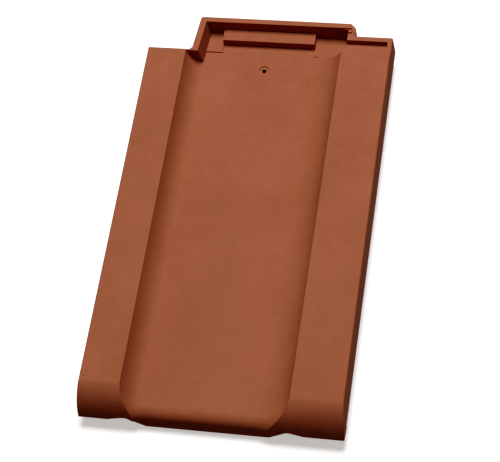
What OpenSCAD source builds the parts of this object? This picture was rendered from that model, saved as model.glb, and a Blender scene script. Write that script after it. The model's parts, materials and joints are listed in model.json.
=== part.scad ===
// Interlocking clay roof tile: a flat pan between two flat cover bands, with a raised rim at the head.
// It is fired in one piece. X runs across the tile, +Y runs up the roof from tail to head, +Z is up.
// The origin is at the middle of the tile's box, on the plane that the tail edge and the nibs rest on.

/* [Overall] */
// width across both bands
tile_w = 280; // [250:1:340]
// length from the tail edge to the back of the head rim
tile_l = 486; // [420:1:580]
// height from the resting plane to the top of the bands
tile_h = 50; // [46:0.5:60]

/* [Cross-section] */
// width of the left band's flat top
left_band_w = 46; // [36:1:60]
// width of the right band's flat top
right_band_w = 57; // [46:1:70]
// how far the pan's floor lies below the bands
pan_depth = 23; // [18:0.5:27]
// thickness of the clay under the pan
pan_t = 11; // [10:0.5:15]
// thickness of the clay over and around the hollow bands
band_t = 10; // [8:0.5:13]
// height of the outer side of each band
skirt_h = 29; // [22:0.5:32]
// width of the steep cove between the left crease and the pan's floor
left_cove_w = 20.5; // [16:0.5:26]
// how many times taller that cove is than an arc of a circle
left_cove_stretch = 2; // [1.5:0.1:2.5]
// width of the wide round cove between the right crease and the pan's floor
right_cove_w = 38; // [28:0.5:44]
// rounding of the bands' outer edges
edge_r = 2; // [1:0.5:4]
// lean of the outer sides, from the top down
side_lean = 2; // [0:0.5:4]

/* [Tail] */
// length over which the bands round down to the tail
nose_l = 29; // [24:1:40]
// angle on its ellipse at which that rounding begins
nose_from = 8; // [4:1:14]
// angle on its ellipse at which it meets the lip's lower edge
nose_to = 70; // [60:1:80]
// radius over which the pan's floor rounds down to the lip
pan_nose_r = 13; // [10:0.5:20]
// how far the lip's front leans out from that rounding down to its foot
lip_lean = 2.5; // [0:0.5:4]
// how far the lip stops short of the resting plane under the bands
lip_rise = 16.5; // [12:0.5:20]
// width of the slope between the two lip heights
lip_slope = 19; // [10:1:30]
// distance from each crease to the foot of that slope
lip_in = 23.5; // [20:0.5:28]
// height of the rebate along the lip's lower edge
rebate_h = 8; // [5:0.5:10]
// how deep that rebate is cut into the lip, from its foot
rebate_d = 2.5; // [2:0.1:4]

/* [Head rim] */
// thickness of the rim's top
rim_t = 6; // [4:0.5:9]
// lean of the rim's inner walls, from top to foot
rim_draft = 2; // [0:0.5:4]
// distance from the left side to the rim's outer face, at the back
rim_left = 57; // [50:1:66]
// how much nearer to the left side that face is at its front
rim_skew = 4; // [0:0.5:8]
// width of the top of the rim's left leg
left_leg_w = 7; // [4:0.5:9]
// lean of the inner wall of the left leg
left_leg_draft = 3.5; // [2:0.5:8]
// distance from the right side to the rim's right end
rim_right = 44; // [36:1:50]
// chamfer on the rim's right rear corner
rim_chamfer = 6; // [2:0.5:8]
// thickness of the short wall that closes the rim's right end
rim_end_t = 4.5; // [3:0.5:7]
// how far the rim's left leg reaches forward past the left band's head end
left_leg_lap = 1.5; // [1:0.5:8]
// distance from the left band's head end to the tile's rear edge
left_setback = 45; // [38:1:54]
// rounding, in plan, of the corners at the head
head_corner = 1.5; // [1:0.5:3]

/* [Weather bar and pads] */
// height of the bar above the pan
bar_h = 10; // [6:0.5:14]
// depth of the bar in front of the rim's wall
bar_d = 14.5; // [8:0.5:20]
// distance from the left side to the bar's left end
bar_left = 83.5; // [76:1:100]
// length of the bar
bar_l = 106; // [80:1:120]
// height of the pads above the pan
pad_h = 1.5; // [1:0.5:4]
// depth of the pads in front of the rim's wall
pad_d = 25.5; // [18:0.5:32]
// how much further forward the right pad's recess reaches at its right end
pad_skew = 5; // [2:0.5:8]
// distance from the right crease to the wall beside the right pad
pad_wall_in = 1; // [0:0.5:4]
// lean of the wall beside the right pad
pad_wall_draft = 4; // [1:0.5:6]

/* [Corner shelf] */
// distance from the shelf's front to the tile's rear edge
shelf_l = 37; // [30:0.5:44]
// distance from the shelf's back to the tile's rear edge
shelf_setback = 14; // [10:0.5:20]
// how far the shelf lies below the bands
shelf_drop = 4; // [2:0.5:6]
// how far the pocket's floor lies below the bands
pocket_drop = 11; // [8:0.5:13]
// thickness of the pocket's rear wall
pocket_wall = 5.5; // [4:0.5:8]
// thickness of the pocket's right wall
pocket_side = 7; // [5:0.5:10]

/* [Nail hole] */
// diameter of the hole
nail_d = 5; // [4:0.5:7]
// diameter of the shallow countersink around it
sink_d = 12; // [9:0.5:14]
// depth of the countersink
sink_depth = 1.2; // [0.5:0.1:2]
// distance from the left side to the hole
nail_x = 135; // [120:1:160]
// distance from the hole to the tile's rear edge
nail_back = 54; // [46:1:66]

/* [Nibs] */
// width of each nib
nib_w = 36; // [25:1:50]
// thickness of each nib along the tile
nib_t = 18; // [12:1:24]
// distance from each nib's back to the tile's rear edge
nib_back = 6; // [2:1:14]
// distance between the two nibs
nib_gap = 78; // [50:1:110]
// how much narrower a nib is at its foot, on each side
nib_draft = 3; // [1:0.5:5]

/* [Hidden] */
$fn = 96;

clay = [0.62, 0.36, 0.25];
// overlap that keeps cuts and joins clean
eps = 1;
// thickness of the slices between which a slanted block is drawn
leaf = 0.01;
// flats that make up each cove, the nose and each rounded edge
cove_steps = 10;
nose_steps = 14;
edge_steps = 4;
// how far the clay beside the pan reaches under each band, as a share of the clay over the band
side_share = 0.7;
// how high the rebate still is where it leaves the lip's slope, as a share of its height
fade_share = 0.6;
band_z = tile_h;
pan_z = tile_h - pan_depth;
under_z = pan_z - pan_t;
skirt_z = tile_h - skirt_h;
lip_t = lip_lean + pan_nose_r;
left_crease = left_band_w;
right_crease = tile_w - right_band_w;
left_cove_end = left_crease + left_cove_w;
right_cove_end = right_crease - right_cove_w;
left_end = tile_l - left_setback;
shelf_front = tile_l - shelf_l;
shelf_back = tile_l - shelf_setback;
rim_end = tile_w - rim_right;
rim_in = tile_l - rim_t;
pad_wall = right_crease + pad_wall_in;
// the hollows stop where the nose has thinned the clay above them to about two thirds
hollow_start = nose_l * 0.7;
hollow_corner = 5;

// places a flat outline drawn in X and Z so that it runs along Y from y0 to y1
module along_y(y0, y1) {
    translate([0, y1, 0])
        rotate([90, 0, 0])
            linear_extrude(height = y1 - y0)
                children();
}

// places a flat outline drawn in Y and Z so that it runs along X from x0 to x1
module along_x(x0, x1) {
    translate([x0, 0, 0])
        rotate([90, 0, 90])
            linear_extrude(height = x1 - x0)
                children();
}

// points along an arc about [x, z], from angle a0 to angle a1
function arc(x, z, r, a0, a1, steps) =
    [for (i = [0:steps]) let (a = a0 + (a1 - a0) * i / steps) [x + r * cos(a), z + r * sin(a)]];

// one side of the pan in cross-section, from the pan's floor up to the crease
function cove(foot, cove_w, stretch) =
    let (h = pan_depth / stretch, r = (cove_w * cove_w + h * h) / (2 * h))
    [for (p = arc(foot, r, r, 270, 270 - asin(cove_w / r), cove_steps)) [p[0], pan_z + p[1] * stretch]];

// mirrors points left to right and reverses their order
function mirrored(points) = [for (i = [len(points) - 1:-1:0]) [-points[i][0], points[i][1]]];

// moves points along X
function moved(points, x) = [for (p = points) [p[0] + x, p[1]]];

// everything under the upper surface, in cross-section
module top_section() {
    left_edge = arc(side_lean + edge_r, band_z - edge_r, edge_r, 90, 180, edge_steps);
    right_edge = moved(mirrored(left_edge), tile_w);
    left_cove = cove(left_cove_end, left_cove_w, left_cove_stretch);
    right_cove = moved(mirrored(cove(right_cove_w, right_cove_w, 1)), right_crease);
    polygon(concat([[0, skirt_z], [0, 0], [tile_w, 0], [tile_w, skirt_z]],
                   right_edge, right_cove, left_cove, left_edge));
}

// the space under one end of the lip, seen from the front: the lip hangs lower under the pan
module lip_gap(foot) {
    polygon([[-eps, -eps], [foot + eps * lip_slope / lip_rise, -eps], [foot - lip_slope, lip_rise],
             [-eps, lip_rise]]);
}

// the clay's lower limit behind the lip: a slab under the pan and a skirt at each side
module under_section() {
    translate([-eps, skirt_z])
        square([tile_w + 2 * eps, band_z + eps - skirt_z]);
    translate([left_crease - band_t * side_share, under_z])
        square([right_crease - left_crease + 2 * band_t * side_share, band_z + eps - under_z]);
}

// what is cut off above the bands' nose, seen from the side: the outside of part of an ellipse
module nose_cut() {
    nose_h = band_z - lip_rise;
    half_l = nose_l / (sin(nose_to) - sin(nose_from));
    half_h = nose_h / (cos(nose_from) - cos(nose_to));
    nose = [for (i = [0:nose_steps]) let (a = nose_to + (nose_from - nose_to) * i / nose_steps)
            [half_l * (sin(nose_to) - sin(a)), lip_rise + half_h * (cos(a) - cos(nose_to))]];
    polygon(concat([[-eps, lip_rise - 2 * eps]], nose, [[nose_l, band_z + eps], [-eps, band_z + eps]]));
}

// one half of the rebate seen from the front, up to x_mid: it follows the lip's edge and fades on the band
module rebate(foot, x_mid) {
    slope_top = foot - lip_slope;
    fade_x = slope_top - lip_slope;
    polygon([[fade_x, lip_rise - eps], [fade_x, lip_rise], [slope_top, lip_rise + rebate_h * fade_share],
             [foot + eps, rebate_h], [x_mid, rebate_h], [x_mid, -eps], [foot - lip_slope / 2, -eps]]);
}

// the tail: the cross-section turned down about an axis across the tile, cut off square in front
module tail() {
    axis_z = pan_z - pan_nose_r;
    left_foot = left_crease + lip_in;
    right_foot = right_band_w + lip_in;
    difference() {
        union() {
            translate([0, lip_t, axis_z])
                rotate(a = 180, v = [1, 0, 1])
                    rotate_extrude(angle = 90, $fn = 180)
                        intersection() {
                            mirror([1, -1])
                                translate([0, -axis_z])
                                    top_section();
                            square([band_z, tile_w]);
                        }
            along_x(0, tile_w)
                polygon([[0, 0], [lip_t, 0], [lip_t, axis_z], [lip_lean, axis_z]]);
        }
        translate([-eps, -band_z, -eps])
            cube([tile_w + 2 * eps, band_z, band_z + 2 * eps]);
        along_y(-eps, lip_t + eps) {
            lip_gap(left_foot);
            translate([tile_w, 0])
                mirror([1, 0])
                    lip_gap(right_foot);
        }
        along_y(-eps, rebate_d) {
            rebate(left_foot, tile_w / 2);
            translate([tile_w, 0])
                mirror([1, 0])
                    rebate(right_foot, tile_w / 2);
        }
    }
}

// the hollow under one band, between its skirt and the side of the pan
module hollow(x0, x1, y1) {
    corner_z = band_z - band_t - hollow_corner;
    along_y(hollow_start, y1)
        union() {
            translate([x0, -eps])
                square([x1 - x0, corner_z + eps]);
            translate([x0 + hollow_corner, 0])
                square([x1 - x0 - 2 * hollow_corner, band_z - band_t]);
            for (x = [x0 + hollow_corner, x1 - hollow_corner])
                translate([x, corner_z])
                    circle(r = hollow_corner, $fn = 48);
        }
}

// what is missing from the full rectangle at the head, from above: left corner, then right corner
module head_corners() {
    rim_front = rim_left - rim_skew;
    far = tile_l + eps;
    polygon([[-eps, far], [-eps, left_end - head_corner - eps], [head_corner, left_end],
             [rim_front - 2 * head_corner, left_end], [rim_front, left_end + 2 * head_corner],
             [rim_left, tile_l - head_corner], [rim_left + head_corner + eps, far]]);
    polygon([[rim_end - rim_chamfer - eps, far], [rim_end, tile_l - rim_chamfer],
             [rim_end, shelf_back], [tile_w - head_corner, shelf_back],
             [tile_w + eps, shelf_back - head_corner - eps], [tile_w + eps, far]]);
}

// the rim's rear wall and left leg as full blocks
module head_blocks() {
    leg_top = rim_left - rim_skew + left_leg_w;
    // rear wall with a leaning inner face
    along_x(left_crease, rim_end)
        polygon([[tile_l, under_z], [tile_l, band_z], [rim_in, band_z], [rim_in - rim_draft, under_z]]);
    // left leg, as slanted in plan as its outer face: its front closes the space beside the crease
    hull()
        for (end = [[left_end - left_leg_lap, 0], [tile_l - rim_t / 2, rim_skew]])
            along_y(end[0], end[0] + leaf)
                polygon([[left_crease - eps, under_z], [left_crease - eps, band_z],
                         [leg_top + end[1], band_z], [leg_top + end[1] + left_leg_draft, pan_z],
                         [leg_top + end[1] + left_leg_draft, under_z]]);
}

// everything that is cut down to a lower level in the head's right corner
module head_cuts() {
    // shelf, with its outer edge rounded as the band's is
    shelf_z = band_z - shelf_drop;
    round_z = shelf_z - edge_r;
    lean = side_lean * (round_z - skirt_z) / (band_z - edge_r - skirt_z);
    along_y(shelf_front, shelf_back)
        polygon(concat([[tile_w + eps, band_z + eps], [right_crease - eps, band_z + eps],
                        [right_crease - eps, shelf_z]],
                       moved(mirrored(arc(lean + edge_r, round_z, edge_r, 180, 90, edge_steps)), tile_w),
                       [[tile_w + eps, round_z]]));
    // right end of the rim: two steps down to the shelf, inside a short wall that slopes down to it
    end_wall = rim_end - rim_end_t;
    step_y = (rim_in + shelf_back) / 2;
    translate([pad_wall - eps, shelf_back - eps, shelf_z])
        cube([end_wall - pad_wall + eps, step_y - shelf_back + eps, shelf_drop + eps]);
    translate([pad_wall - eps, step_y - eps, shelf_z + shelf_drop / 2])
        cube([end_wall - pad_wall + eps, rim_in - step_y + eps, shelf_drop]);
    along_x(end_wall, rim_end + eps)
        polygon([[shelf_back, shelf_z], [rim_in, band_z], [rim_in, band_z + eps],
                 [shelf_back - eps, band_z + eps], [shelf_back - eps, shelf_z]]);
    // pocket in the shelf
    translate([pad_wall - eps, shelf_front, band_z - pocket_drop])
        cube([right_band_w - pad_wall_in - pocket_side + eps, shelf_l - shelf_setback - pocket_wall,
              pocket_drop + eps]);
    // recess over the right pad, and the part of it that reaches further forward beside the crease
    recess_y = rim_in - rim_draft - pad_d;
    along_y(recess_y, rim_in - rim_draft / 2)
        polygon([[right_cove_end, pan_z + pad_h], [pad_wall, pan_z + pad_h],
                 [pad_wall + pad_wall_draft, band_z + eps], [right_cove_end, band_z + eps]]);
    translate([0, 0, pan_z + pad_h])
        linear_extrude(height = pan_depth)
            polygon([[right_cove_end + pad_skew, recess_y], [pad_wall, recess_y - pad_skew],
                     [pad_wall, recess_y + eps], [right_cove_end + pad_skew, recess_y + eps]]);
}

// the raised bar and the two pads in front of the rim
module bar_and_pads() {
    wall_foot = rim_in - rim_draft / 2;
    bar_right = bar_left + bar_l;
    translate([bar_left, wall_foot - bar_d, pan_z - eps])
        cube([bar_l, bar_d, bar_h + eps]);
    translate([left_cove_end - left_cove_w / 2, wall_foot - pad_d, pan_z - eps])
        cube([bar_left - left_cove_end + left_cove_w / 2 + eps / 10, pad_d, pad_h + eps]);
    translate([bar_right - eps / 10, wall_foot - pad_d, pan_z - eps])
        cube([pad_wall - bar_right, pad_d, pad_h + eps]);
}

module nibs() {
    back = tile_l - nib_back;
    for (side = [-1, 1])
        translate([tile_w / 2 + side * (nib_gap + nib_w) / 2, 0, 0])
            along_y(back - nib_t, back)
                polygon([[-nib_w / 2, under_z + eps], [-nib_w / 2, under_z], [-nib_w / 2 + nib_draft, 0],
                         [nib_w / 2 - nib_draft, 0], [nib_w / 2, under_z], [nib_w / 2, under_z + eps]]);
}

module nail_hole() {
    translate([nail_x, tile_l - nail_back, 0]) {
        cylinder(h = band_z, d = nail_d, $fn = 64);
        translate([0, 0, pan_z - sink_depth])
            cylinder(h = sink_depth + eps, d = sink_d, $fn = 64);
    }
}

// bands, pan and tail along the whole tile
module clay_body() {
    tail();
    along_y(lip_t, tile_l)
        intersection() {
            top_section();
            under_section();
        }
}

module roof_tile() {
    color(clay)
        translate([-tile_w / 2, -tile_l / 2, 0])
            difference() {
                union() {
                    difference() {
                        union() {
                            clay_body();
                            head_blocks();
                        }
                        head_cuts();
                        along_x(-eps, tile_w + eps)
                            nose_cut();
                        hollow(band_t, left_crease - band_t * side_share, left_end - band_t);
                        hollow(right_crease + band_t * side_share, tile_w - band_t, shelf_front - band_t);
                        translate([0, 0, -eps])
                            linear_extrude(height = band_z + 2 * eps)
                                head_corners();
                    }
                    bar_and_pads();
                    nibs();
                }
                nail_hole();
            }
}

roof_tile();
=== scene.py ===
# Interlocking clay roof tile: the moulded body with its softened edges, its fired surface, and the studio.
import json
import math
import bpy
import bmesh
from mathutils import Matrix, Vector

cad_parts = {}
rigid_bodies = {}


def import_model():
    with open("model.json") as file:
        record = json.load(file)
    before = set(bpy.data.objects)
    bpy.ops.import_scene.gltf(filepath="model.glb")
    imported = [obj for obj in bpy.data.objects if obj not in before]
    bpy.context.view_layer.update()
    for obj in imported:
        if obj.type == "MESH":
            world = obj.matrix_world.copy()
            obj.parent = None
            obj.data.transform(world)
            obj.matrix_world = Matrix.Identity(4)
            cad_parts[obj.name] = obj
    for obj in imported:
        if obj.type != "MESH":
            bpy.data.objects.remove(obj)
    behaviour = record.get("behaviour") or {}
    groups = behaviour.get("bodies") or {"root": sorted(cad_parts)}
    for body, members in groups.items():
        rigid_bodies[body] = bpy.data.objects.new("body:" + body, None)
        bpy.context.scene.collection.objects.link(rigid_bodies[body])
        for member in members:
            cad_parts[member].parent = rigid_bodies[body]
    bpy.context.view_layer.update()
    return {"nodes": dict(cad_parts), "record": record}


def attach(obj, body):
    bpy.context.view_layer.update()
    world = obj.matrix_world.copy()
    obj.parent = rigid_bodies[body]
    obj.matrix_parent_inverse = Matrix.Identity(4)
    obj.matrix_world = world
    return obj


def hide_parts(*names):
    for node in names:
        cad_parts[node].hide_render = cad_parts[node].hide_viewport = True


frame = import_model()
print("frame loaded:", ", ".join(sorted(frame["nodes"])))


class Value:  # wraps one output socket, so that sums on masks read as plain arithmetic
    def __init__(self, graph, socket):
        self.graph = graph
        self.socket = socket

    def sum(self, operation, first, second):
        return self.graph.add("ShaderNodeMath", {"operation": operation}, {0: first, 1: second})

    def __add__(self, other):
        return self.sum("ADD", self, other)

    def __radd__(self, other):
        return self.sum("ADD", other, self)

    def __sub__(self, other):
        return self.sum("SUBTRACT", self, other)

    def __rsub__(self, other):
        return self.sum("SUBTRACT", other, self)

    def __mul__(self, other):
        return self.sum("MULTIPLY", self, other)

    def __rmul__(self, other):
        return self.sum("MULTIPLY", other, self)

    def __lt__(self, other):
        return self.sum("LESS_THAN", self, other)


class Graph:  # adds nodes to one tree and links what it is given
    def __init__(self, tree):
        self.tree = tree
        tree.nodes.clear()

    def add(self, kind, settings=None, inputs=None, output=0):
        node = self.tree.nodes.new(kind)
        for name, setting in (settings or {}).items():
            if name == "stops":
                self.setStops(node.color_ramp, setting)
            else:
                setattr(node, name, setting)
        for name, given in (inputs or {}).items():
            if isinstance(given, Value):
                self.tree.links.new(given.socket, node.inputs[name])
            else:
                node.inputs[name].default_value = given
        return Value(self, node.outputs[output]) if node.outputs else node

    def setStops(self, ramp, stops):
        while len(ramp.elements) < len(stops):
            ramp.elements.new(0.5)
        for element, (place, colour) in zip(ramp.elements, stops):
            element.position = place
            element.color = (*colour, 1.0)


# the clay body: a copy of the solid with its moulded edges softened
bodyLook = {
    "mergeDistance": 0.00012,   # slivers between neighbouring faces are closed up to here
    "flatAngle": 0.6,           # degrees, faces flatter than this to each other become one
    "sharpAngle": 29.0,         # degrees, edges sharper than this are softened
    "edgeRadius": 0.0016,       # how far a softened edge reaches on each side
    "holeEdgeRadius": 0.0004,   # the same round the nail hole
    "holeReach": 0.009,         # edges nearer than this to the hole's middle belong to it
    "narrowShare": 0.4,         # no edge takes more than this share of the face beside it
    "edgeSteps": 3,
}


def nailHole():
    mount = next(m for m in frame["record"]["mounts"] if m["name"] == "nail_hole")
    return Vector(mount["pos_m"])


def faceWidth(face, edge):  # how far a face reaches away from one of its edges
    start = edge.verts[0].co
    along = (edge.verts[1].co - start).normalized()
    return max((v.co - start - along * (v.co - start).dot(along)).length for v in face.verts)


def weighEdges(body, look):
    weights = body.edges.layers.float.new("bevel_weight_edge")
    hole = nailHole()
    for edge in body.edges:
        if not edge.is_manifold or edge.calc_face_angle() < math.radians(look["sharpAngle"]):
            continue
        reach = look["edgeRadius"]
        middle = (edge.verts[0].co + edge.verts[1].co) / 2
        if (middle - hole).xy.length < look["holeReach"]:
            reach = look["holeEdgeRadius"]
        narrow = min(faceWidth(face, edge) for face in edge.link_faces)
        edge[weights] = min(reach, narrow * look["narrowShare"]) / look["edgeRadius"]


def softenedCopy(node, look):
    mesh = frame["nodes"][node].data.copy()
    body = bmesh.new()
    body.from_mesh(mesh)
    bmesh.ops.remove_doubles(body, verts=body.verts, dist=look["mergeDistance"])
    bmesh.ops.dissolve_limit(body, angle_limit=math.radians(look["flatAngle"]),
                             verts=body.verts, edges=body.edges)
    weighEdges(body, look)
    for face in body.faces:
        face.smooth = True
    body.to_mesh(mesh)
    body.free()
    piece = bpy.data.objects.new("clay_tile_body", mesh)
    bpy.context.scene.collection.objects.link(piece)
    bevel = piece.modifiers.new("soft edges", "BEVEL")
    bevel.limit_method = "WEIGHT"
    bevel.width = look["edgeRadius"]
    bevel.segments = look["edgeSteps"]
    bevel.miter_outer = "MITER_ARC"
    bevel.use_clamp_overlap = True
    normals = piece.modifiers.new("flat faces stay flat", "WEIGHTED_NORMAL")
    normals.weight = 100
    normals.keep_sharp = False
    return piece


def applied(piece):  # the evaluated mesh, with no modifier left
    shown = piece.evaluated_get(bpy.context.evaluated_depsgraph_get())
    mesh = bpy.data.meshes.new_from_object(shown, preserve_all_data_layers=True,
                                           depsgraph=bpy.context.evaluated_depsgraph_get())
    piece.modifiers.clear()
    piece.data = mesh
    return piece


# the fired surface, which reads object coordinates only
clayLook = {
    "dark": (0.315, 0.105, 0.057),     # linear colours, from the darkest mottle to the palest
    "middle": (0.345, 0.118, 0.065),
    "pale": (0.375, 0.131, 0.074),
    "tones": (0.34, 0.5, 0.66),        # where on the mottling those three colours lie
    "iron": (0.10, 0.040, 0.026),      # burnt iron specks
    "grog": (0.46, 0.22, 0.14),        # pale grains
    "clouds": 16.0,                    # mottles in a metre, from the broadest to the finest
    "mottles": 75.0,
    "grains": 700.0,
    "shares": (0.45, 0.3, 0.25),       # how much of the tone each of the three makes
    "ironScale": 150.0,                # specks: cells in a metre, size in a cell, share of cells, strength
    "ironSize": 0.11,
    "ironShare": 0.02,
    "ironStrength": 0.75,
    "grogScale": 210.0,
    "grogSize": 0.12,
    "grogShare": 0.04,
    "grogStrength": 0.4,
    "roughness": 0.82,
    "roughnessSpread": 0.16,
    "gloss": 0.25,
    "grainHeight": 0.00012,
    "grainStrength": 0.5,
    "mottleHeight": 0.8,               # beside the grain's height
}


def firedClay(look):
    material = bpy.data.materials.new("fired_clay")
    material.use_nodes = True
    graph = Graph(material.node_tree)
    place = graph.add("ShaderNodeTexCoord", output="Object")

    def noise(scale, detail):
        return graph.add("ShaderNodeTexNoise", {"noise_dimensions": "3D"},
                         {"Vector": place, "Scale": scale, "Detail": detail, "Roughness": 0.55})

    def specks(kind):  # round spots: few cells of a cellular pattern, near their centres
        settings = {"voronoi_dimensions": "3D", "feature": "F1"}
        inputs = {"Vector": place, "Scale": look[kind + "Scale"]}
        reach = graph.add("ShaderNodeTexVoronoi", settings, inputs, "Distance")
        pick = graph.add("ShaderNodeTexVoronoi", settings, inputs, "Color")
        chance = graph.add("ShaderNodeSeparateColor", None, {0: pick})
        return (reach < look[kind + "Size"]) * (chance < look[kind + "Share"])

    def speckled(under, kind, mask):
        return graph.add("ShaderNodeMix", {"data_type": "RGBA"}, {
            0: mask * look[kind + "Strength"], 6: under, 7: (*look[kind], 1.0)}, 2)

    clouds = noise(look["clouds"], 3.0)
    mottles = noise(look["mottles"], 4.0)
    grains = noise(look["grains"], 2.0)
    cloudShare, mottleShare, grainShare = look["shares"]
    tone = clouds * cloudShare + mottles * mottleShare + grains * grainShare
    colours = (look["dark"], look["middle"], look["pale"])
    clay = graph.add("ShaderNodeValToRGB", {"stops": list(zip(look["tones"], colours))}, {0: tone})
    ironMask = specks("iron")
    grogMask = specks("grog")
    colour = speckled(speckled(clay, "grog", grogMask), "iron", ironMask)

    relief = graph.add("ShaderNodeBump", None, {
        "Strength": look["grainStrength"], "Distance": look["grainHeight"],
        "Height": grains + mottles * look["mottleHeight"] - ironMask})
    shader = graph.add("ShaderNodeBsdfPrincipled", None, {
        "Base Color": colour, "Roughness": look["roughness"] + (grains - 0.5) * look["roughnessSpread"],
        "Normal": relief, "Specular IOR Level": look["gloss"]})
    graph.add("ShaderNodeOutputMaterial", None, {"Surface": shader})
    return material


tile = applied(softenedCopy("roof_tile", bodyLook))
tile.data.materials.clear()
tile.data.materials.append(firedClay(clayLook))
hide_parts("roof_tile")
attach(tile, "root")
print("clay body:", len(tile.data.polygons), "faces")


studioLook = {
    "floorSize": 30.0,
    "floorDrop": 0.0002,         # keeps the floor just clear of the tile's feet
    "floorShade": 0.8,
    "floorGlow": 0.48,           # the floor's own light, which keeps its shadows pale
    "keyPower": 90.0,
    "keyTilt": 17.0,             # degrees from straight above, towards the head of the tile
    "keyTurn": 8.0,              # degrees to the right of the head
    "keyDistance": 3.0,
    "keySize": 1.4,
    "fillColour": (1.0, 0.70, 0.50),
    "fillStrength": 0.10,
    "backdrop": (0.95, 0.95, 0.95),
    "toe": ((0.02, 0.004), (0.05, 0.023), (0.1, 0.073), (0.2, 0.174)),   # deepens the shades
}


def addFloor(look):
    half = look["floorSize"] / 2
    mesh = bpy.data.meshes.new("floor")
    corners = [(-half, -half, 0), (half, -half, 0), (half, half, 0), (-half, half, 0)]
    mesh.from_pydata(corners, [], [(0, 1, 2, 3)])
    floor = bpy.data.objects.new("floor", mesh)
    bpy.context.scene.collection.objects.link(floor)
    floor.visible_diffuse = False
    floor.location.z = -look["floorDrop"]
    material = bpy.data.materials.new("pale_floor")
    material.use_nodes = True
    graph = Graph(material.node_tree)
    shade = look["floorShade"]
    shader = graph.add("ShaderNodeBsdfPrincipled", None, {
        "Base Color": (shade, shade, shade, 1), "Roughness": 1.0, "Specular IOR Level": 0.0,
        "Emission Color": (1, 1, 1, 1), "Emission Strength": look["floorGlow"]})
    graph.add("ShaderNodeOutputMaterial", None, {"Surface": shader})
    mesh.materials.append(material)


def addKey(look):
    light = bpy.data.lights.new("key", "AREA")
    light.shape = "DISK"
    light.size = look["keySize"]
    light.energy = look["keyPower"]
    key = bpy.data.objects.new("key", light)
    bpy.context.scene.collection.objects.link(key)
    turn = Matrix.Rotation(math.radians(-look["keyTurn"]), 4, "Z")
    tilt = Matrix.Rotation(math.radians(-look["keyTilt"]), 4, "X")
    key.matrix_world = turn @ tilt @ Matrix.Translation((0, 0, look["keyDistance"]))


def addFill(look):
    world = bpy.data.worlds.new("studio")
    world.use_nodes = True
    bpy.context.scene.world = world
    graph = Graph(world.node_tree)
    seen = graph.add("ShaderNodeLightPath", output="Is Camera Ray")
    fill = graph.add("ShaderNodeBackground", None, {
        "Color": (*look["fillColour"], 1), "Strength": look["fillStrength"]})
    backdrop = graph.add("ShaderNodeBackground", None, {"Color": (*look["backdrop"], 1), "Strength": 1.0})
    both = graph.add("ShaderNodeMixShader", None, {0: seen, 1: fill, 2: backdrop})
    graph.add("ShaderNodeOutputWorld", None, {"Surface": both})


cameraLook = {
    "target": (0.0092, -0.0161, 0.025),
    "azimuth": 21.755,           # degrees to the right of the tail
    "elevation": 60.432,
    "roll": -15.088,
    "distance": 1.8512,
    "lens": 123.54,
    "clipStart": 0.05,
}


def addCamera(look):
    lens = bpy.data.cameras.new("camera")
    lens.lens = look["lens"]
    lens.clip_start = look["clipStart"]
    camera = bpy.data.objects.new("camera", lens)
    bpy.context.scene.collection.objects.link(camera)
    turn = Matrix.Rotation(math.radians(look["azimuth"]), 4, "Z")
    tilt = Matrix.Rotation(math.radians(90 - look["elevation"]), 4, "X")
    roll = Matrix.Rotation(math.radians(look["roll"]), 4, "Z")
    back = Matrix.Translation((0, 0, look["distance"]))
    camera.matrix_world = Matrix.Translation(look["target"]) @ turn @ tilt @ back @ roll
    bpy.context.scene.camera = camera


addFloor(studioLook)
addKey(studioLook)
addFill(studioLook)
addCamera(cameraLook)
view = bpy.context.scene.view_settings
view.view_transform = "Standard"
view.use_curve_mapping = True
toe = view.curve_mapping.curves[3]
for level, shown in studioLook["toe"]:
    toe.points.new(level, shown)
view.curve_mapping.update()
print("floor, light and camera in place")
